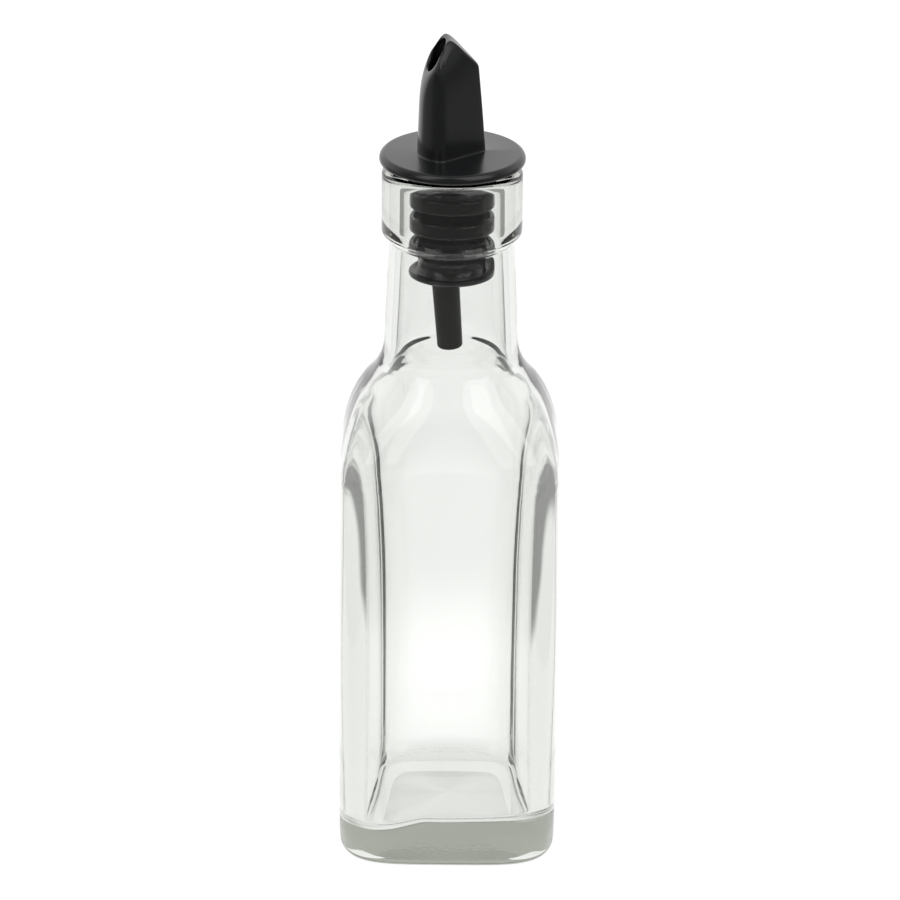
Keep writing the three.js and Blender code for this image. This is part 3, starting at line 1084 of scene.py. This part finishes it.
    def spout_rings(self) -> list[Array]:
        """Rings of the spout: fillet on the flange, wall, rounded rim, top, and mouth down into its hollow.

        The wall meets the top where the section's own height settles under repeated steps. Quadratic curves
        round the rim, widely at the mouth and narrowly at the ridge by a half-cosine of the angle.

        Returns:
            Stacks of rings in order.
        """
        lift = np.array([0, 0, self.flange_thickness])
        edge_height = np.full(self.columns, self.first_edge_height)
        for _ in range(self.edge_rounds):
            edge_height = self.cap(self.wall_ring(edge_height)[:, 0])
        foot = self.foot_round
        start = self.wall_ring(0, -foot)
        low = self.wall_ring(foot)
        edge = self.wall_ring(edge_height)
        mouth = self.mouth_ring()
        inward = mouth - edge
        reach = np.linalg.norm(inward, axis=1)
        mouthward = 0.5 - 0.5 * np.cos(self.angle)
        wanted = self.ridge_round + (self.rim_round - self.ridge_round) * mouthward
        rounding = np.minimum(wanted, self.rim_share * reach)
        wall_share = np.linspace(0, 1, self.wall_steps)[1:, None]
        wall_top = edge_height - rounding * (1 + self.rim_stretch * mouthward)
        wall_height = foot + wall_share * (wall_top - foot)
        wall = np.stack([self.wall_ring(row) for row in wall_height])
        inner_edge = self.on_cap(edge + inward * (rounding / reach)[:, None])
        lip = np.minimum(self.lip_share, self.lip_round / reach)[:, None]
        outer_lip = self.on_cap(mouth - inward * lip)
        shares = np.linspace(0, 1, self.top_steps)[1:, None, None]
        top = self.on_cap(inner_edge * (1 - shares) + outer_lip * shares)
        into = np.array([math.cos(self.mouth_lean), 0, -math.sin(self.mouth_lean)])
        throat = mouth + into * self.lip_round
        deep = mouth + into * self.spout_wall
        hollow = [self.wall_ring(row, self.spout_wall)[None] for row in self.hollow_heights]
        rings = [
            start[None],
            bend(start, self.wall_ring(0), low, steps=4),
            wall,
            bend(wall[-1], edge, inner_edge, steps=14),
            top,
            bend(outer_lip, mouth, throat, steps=6),
            deep[None],
            *hollow,
        ]
        return [ring + lift for ring in rings]

    def mouth_ring(self) -> Array:
        """The mouth's oval on its leaning face: cosine along the slope, sine across it.

        Returns:
            Points, one a row.
        """
        along = self.mouth_drop - self.mouth_length / 2 * np.cos(self.angle)
        x = -self.peak_forward - along * math.sin(self.mouth_lean)
        y = self.mouth_width / 2 * np.sin(self.angle)
        return np.stack([x, y, self.cap(x)], -1)

    def on_cap(self, points: Array) -> Array:
        """The same points lifted or lowered onto the spout's top."""
        return np.concatenate([points[..., :2], self.cap(points[..., :1])], -1)

    def rings(self) -> Array:
        """Rings of the whole moulding, turned and seated in the neck.

        Returns:
            Points, as rings by points by three.
        """
        stack = np.concatenate([*self.plug_rings(), *self.flange_rings(), *self.spout_rings()])
        x, y, z = np.moveaxis(stack, -1, 0)
        return self.turned(x, y, z + self.seat)

    def turned(self, x: Array, y: Array, z: Array) -> Array:
        """The points turned about the axis with the pourer, by the cosine and sine of its turn."""
        c, s = math.cos(self.turn), math.sin(self.turn)
        return np.stack([c * x - s * y, s * x + c * y, z], -1)

    def build(self) -> bpy.types.Object:
        """Makes the moulding and dresses it.

        Returns:
            The new object.
        """
        piece = skin("pourer_moulding", self.rings(), close_rows=False)
        dress(piece, self.finish.material(), "pourer")
        return piece


@dataclass
class BreatherTube:
    """The small air tube under the plug, a little narrower and leaning at its free end."""

    finish: MouldedPlastic
    pourer: Pourer
    top_radius: float = 3.05
    end_radius: float = 2.8
    bore_radius: float = 1.8
    edge: float = 0.7
    bore_flare: float = 0.1
    reach: float = 16.0
    seat: float = 1.0
    tilt: float = math.radians(4)
    columns: int = 96

    def rings(self) -> Array:
        """Rings of the tube's wall: up the outside, over its top, down the bore and round the open end.

        The wall's profile is carried round a circle, then tilted and turned with the pourer.

        Returns:
            Points, as rings by points by three.
        """
        low, high = -self.reach, self.seat
        outside = line((self.end_radius, low + self.edge), (self.top_radius, high), steps=24)
        bore = line((self.bore_radius, high), (self.bore_radius, low + self.edge / 2), steps=8)
        corner_top = (self.end_radius, low + self.edge)
        corner = quarter((self.end_radius - self.edge, low), corner_top, Leave.LEVEL, steps=8)
        bore_end = (self.bore_radius, low + self.edge / 2)
        lip = quarter(bore_end, (self.bore_radius + self.bore_flare, low), Leave.UPRIGHT, steps=4)
        profile = np.concatenate([corner, outside, bore, lip])
        angle = np.linspace(0, 2 * np.pi, self.columns, endpoint=False)
        x = profile[:, :1] * np.cos(angle)
        y = profile[:, :1] * np.sin(angle)
        z = np.repeat(profile[:, 1:], self.columns, 1)
        c, s = math.cos(self.tilt), math.sin(self.tilt)
        x, z = c * x - s * z, s * x + c * z
        x, y = x + self.pourer.tube_centre[0], y + self.pourer.tube_centre[1]
        z = z + self.pourer.seat - self.pourer.plug_length - self.pourer.boss_drop
        return self.pourer.turned(x, y, z)

    def build(self) -> bpy.types.Object:
        """Makes the tube and dresses it.

        Returns:
            The new object.
        """
        piece = skin("air_tube", self.rings(), close_rows=True)
        dress(piece, self.finish.material(), "breather_tube")
        return piece


@dataclass
class Studio:
    """Floor, light and camera. The camera stands where the photograph was taken from."""

    floor_half: float = 6000.0
    floor_cells: int = 8
    camera_back: float = 1250.0
    camera_height: float = 626.6
    camera_pitch: float = math.radians(23.07)
    camera_roll: float = math.radians(0.5)
    focal_pixels: float = 5961.0
    image_pixels: float = 900.0
    sensor: float = 36.0
    sight_metres: float = 50.0
    bounces: int = 18
    front_levels: tuple[tuple[float, float], ...] = (
        (0.0, 0.6), (0.08, 0.35), (0.25, 0.12), (0.6, 0.1), (0.85, 0.25), (1.0, 0.5)
    )
    back_levels: tuple[tuple[float, float], ...] = (
        (0.0, 1.0), (0.12, 1.2), (0.45, 1.25), (0.65, 0.8), (0.9, 0.4), (1.0, 0.5)
    )
    back_from: float = -0.35
    back_full: float = 0.5
    softbox_shares: tuple[float, ...] = (1.0, 0.84, 0.68)
    softbox_sizes: tuple[tuple[float, float], tuple[float, float]] = ((600, 1500), (1000, 1500))
    softbox_turn: float = math.radians(46)
    softbox_rise: float = math.radians(44)
    softbox_away: float = 1400.0
    softbox_aim: float = 100.0
    softbox_radiance: float = 1.5

    def build_floor(self) -> None:
        """A wide level sheet under the bottle: a flat grid of square cells."""
        half = self.floor_half * MM
        across = self.floor_cells + 1
        side = np.linspace(-half, half, across)
        x, y = np.meshgrid(side, side, indexing="ij")
        points = np.stack([x, y, np.zeros_like(x)], -1).reshape(-1, 3)
        i, j = np.meshgrid(np.arange(self.floor_cells), np.arange(self.floor_cells), indexing="ij")
        here = (i * across + j).ravel()
        faces = np.stack([here, here + across, here + across + 1, here + 1], -1)
        mesh = bpy.data.meshes.new("floor")
        mesh.from_pydata(points.tolist(), [], faces.tolist())
        floor = bpy.data.objects.new("floor", mesh)
        bpy.context.scene.collection.objects.link(floor)
        mesh.materials.append(PaleFloor().material())
        log.info("floor: stage")

    def build_light(self) -> None:
        """Soft light from a pale surround that darkens above the horizon, with two overhead softboxes."""
        world = bpy.data.worlds.new("studio")
        bpy.context.scene.world = world
        world.use_nodes = True
        tree = world.node_tree
        tree.nodes.clear()
        toward = add_node(tree, "ShaderNodeTexCoord", {}).outputs["Generated"]
        axes = add_node(tree, "ShaderNodeSeparateXYZ", {"Vector": toward}).outputs
        dark = self.shade_by_height(tree, axes["Z"], self.front_levels)
        bright = self.shade_by_height(tree, axes["Z"], self.back_levels)
        behind = add_node(
            tree,
            "ShaderNodeMapRange",
            {"Value": axes["Y"], "From Min": self.back_from, "From Max": self.back_full},
            interpolation_type="SMOOTHSTEP",
        )
        front = add_node(tree, "ShaderNodeBackground", {"Color": dark})
        back = add_node(tree, "ShaderNodeBackground", {"Color": bright})
        shade = add_node(
            tree,
            "ShaderNodeMixShader",
            {0: behind.outputs["Result"], 1: front.outputs[0], 2: back.outputs[0]},
        )
        add_node(tree, "ShaderNodeOutputWorld", {"Surface": shade.outputs[0]})
        turns = (-self.softbox_turn, self.softbox_turn)
        # Nested boxes give each highlight a soft edge.
        for step, share in enumerate(self.softbox_shares):
            for side, turn, (wide, tall) in zip(("left", "right"), turns, self.softbox_sizes):
                self.softbox(f"softbox_{side}_{step}", turn, (wide * share, tall * share))

    def shade_by_height(
        self,
        tree: bpy.types.NodeTree,
        height: bpy.types.NodeSocket,
        levels: tuple[tuple[float, float], ...],
    ) -> bpy.types.NodeSocket:
        """A grey that follows the height of the direction.

        Args:
            tree: node tree that gets the ramp.
            height: the direction's upward part.
            levels: pairs of upward part and grey level.

        Returns:
            The ramp's colour.
        """
        ramp = add_node(tree, "ShaderNodeValToRGB", {"Fac": height})
        while len(ramp.color_ramp.elements) < len(levels):
            ramp.color_ramp.elements.new(0.5)
        for element, (position, level) in zip(ramp.color_ramp.elements, levels):
            element.position = position
            element.color = (level, level, level, 1)
        return ramp.outputs["Color"]

    def softbox(self, name: str, turn: float, size: tuple[float, float]) -> None:
        """An oblong soft light aimed at the shoulder.

        Args:
            name: name of the light.
            turn: direction from the front, towards +X.
            size: width and height in millimetres.
        """
        light = bpy.data.lights.new(name, "AREA")
        light.shape = "RECTANGLE"
        light.size, light.size_y = (side * MM for side in size)
        light.energy = self.softbox_radiance * math.pi * light.size * light.size_y
        lamp = bpy.data.objects.new(name, light)
        bpy.context.scene.collection.objects.link(lamp)
        flat = self.softbox_away * math.cos(self.softbox_rise)
        up = self.softbox_away * math.sin(self.softbox_rise) + self.softbox_aim
        spot = np.array([flat * math.sin(turn), -flat * math.cos(turn), up]) * MM
        lamp.matrix_world = Matrix.Translation(spot) @ (
            Matrix.Rotation(turn, 4, "Z") @ Matrix.Rotation(math.pi / 2 - self.softbox_rise, 4, "X")
        )
        lamp.visible_camera = False

    def build_camera(self) -> None:
        """A long lens at the photograph's height and distance."""
        camera = bpy.data.cameras.new("camera")
        camera.sensor_width = self.sensor
        camera.lens = self.focal_pixels / self.image_pixels * self.sensor
        camera.clip_end = self.sight_metres
        eye = bpy.data.objects.new("camera", camera)
        bpy.context.scene.collection.objects.link(eye)
        eye.matrix_world = (
            Matrix.Translation((0, -self.camera_back * MM, self.camera_height * MM))
            @ Matrix.Rotation(math.pi / 2 - self.camera_pitch, 4, "X")
            @ Matrix.Rotation(self.camera_roll, 4, "Z")
        )
        scene = bpy.context.scene
        scene.camera = eye
        scene.view_settings.view_transform = "Standard"
        scene.cycles.max_bounces = self.bounces
        scene.cycles.transmission_bounces = self.bounces


BLACK_POLYETHYLENE = MouldedPlastic(
    name="black_polyethylene_injection_moulded",
    colour_hex="#0e0f10",
    light_hex="#131415",
    roughness_low=0.2,
    roughness_high=0.27,
)
TUBE_PLASTIC = MouldedPlastic(
    name="grey_black_tube_extruded",
    colour_hex="#1f201d",
    light_hex="#262723",
    roughness_low=0.42,
    roughness_high=0.52,
)


def main() -> None:
    """Builds the studio and the cruet, piece by piece."""
    logging.basicConfig(level=logging.INFO, format="%(name)s %(message)s")
    studio = Studio()
    studio.build_camera()
    studio.build_light()
    studio.build_floor()
    GlassBottle(MouldedGlass()).build()
    pourer = Pourer(BLACK_POLYETHYLENE)
    pourer.build()
    BreatherTube(TUBE_PLASTIC, pourer).build()


if __name__ == "__main__":
    main()
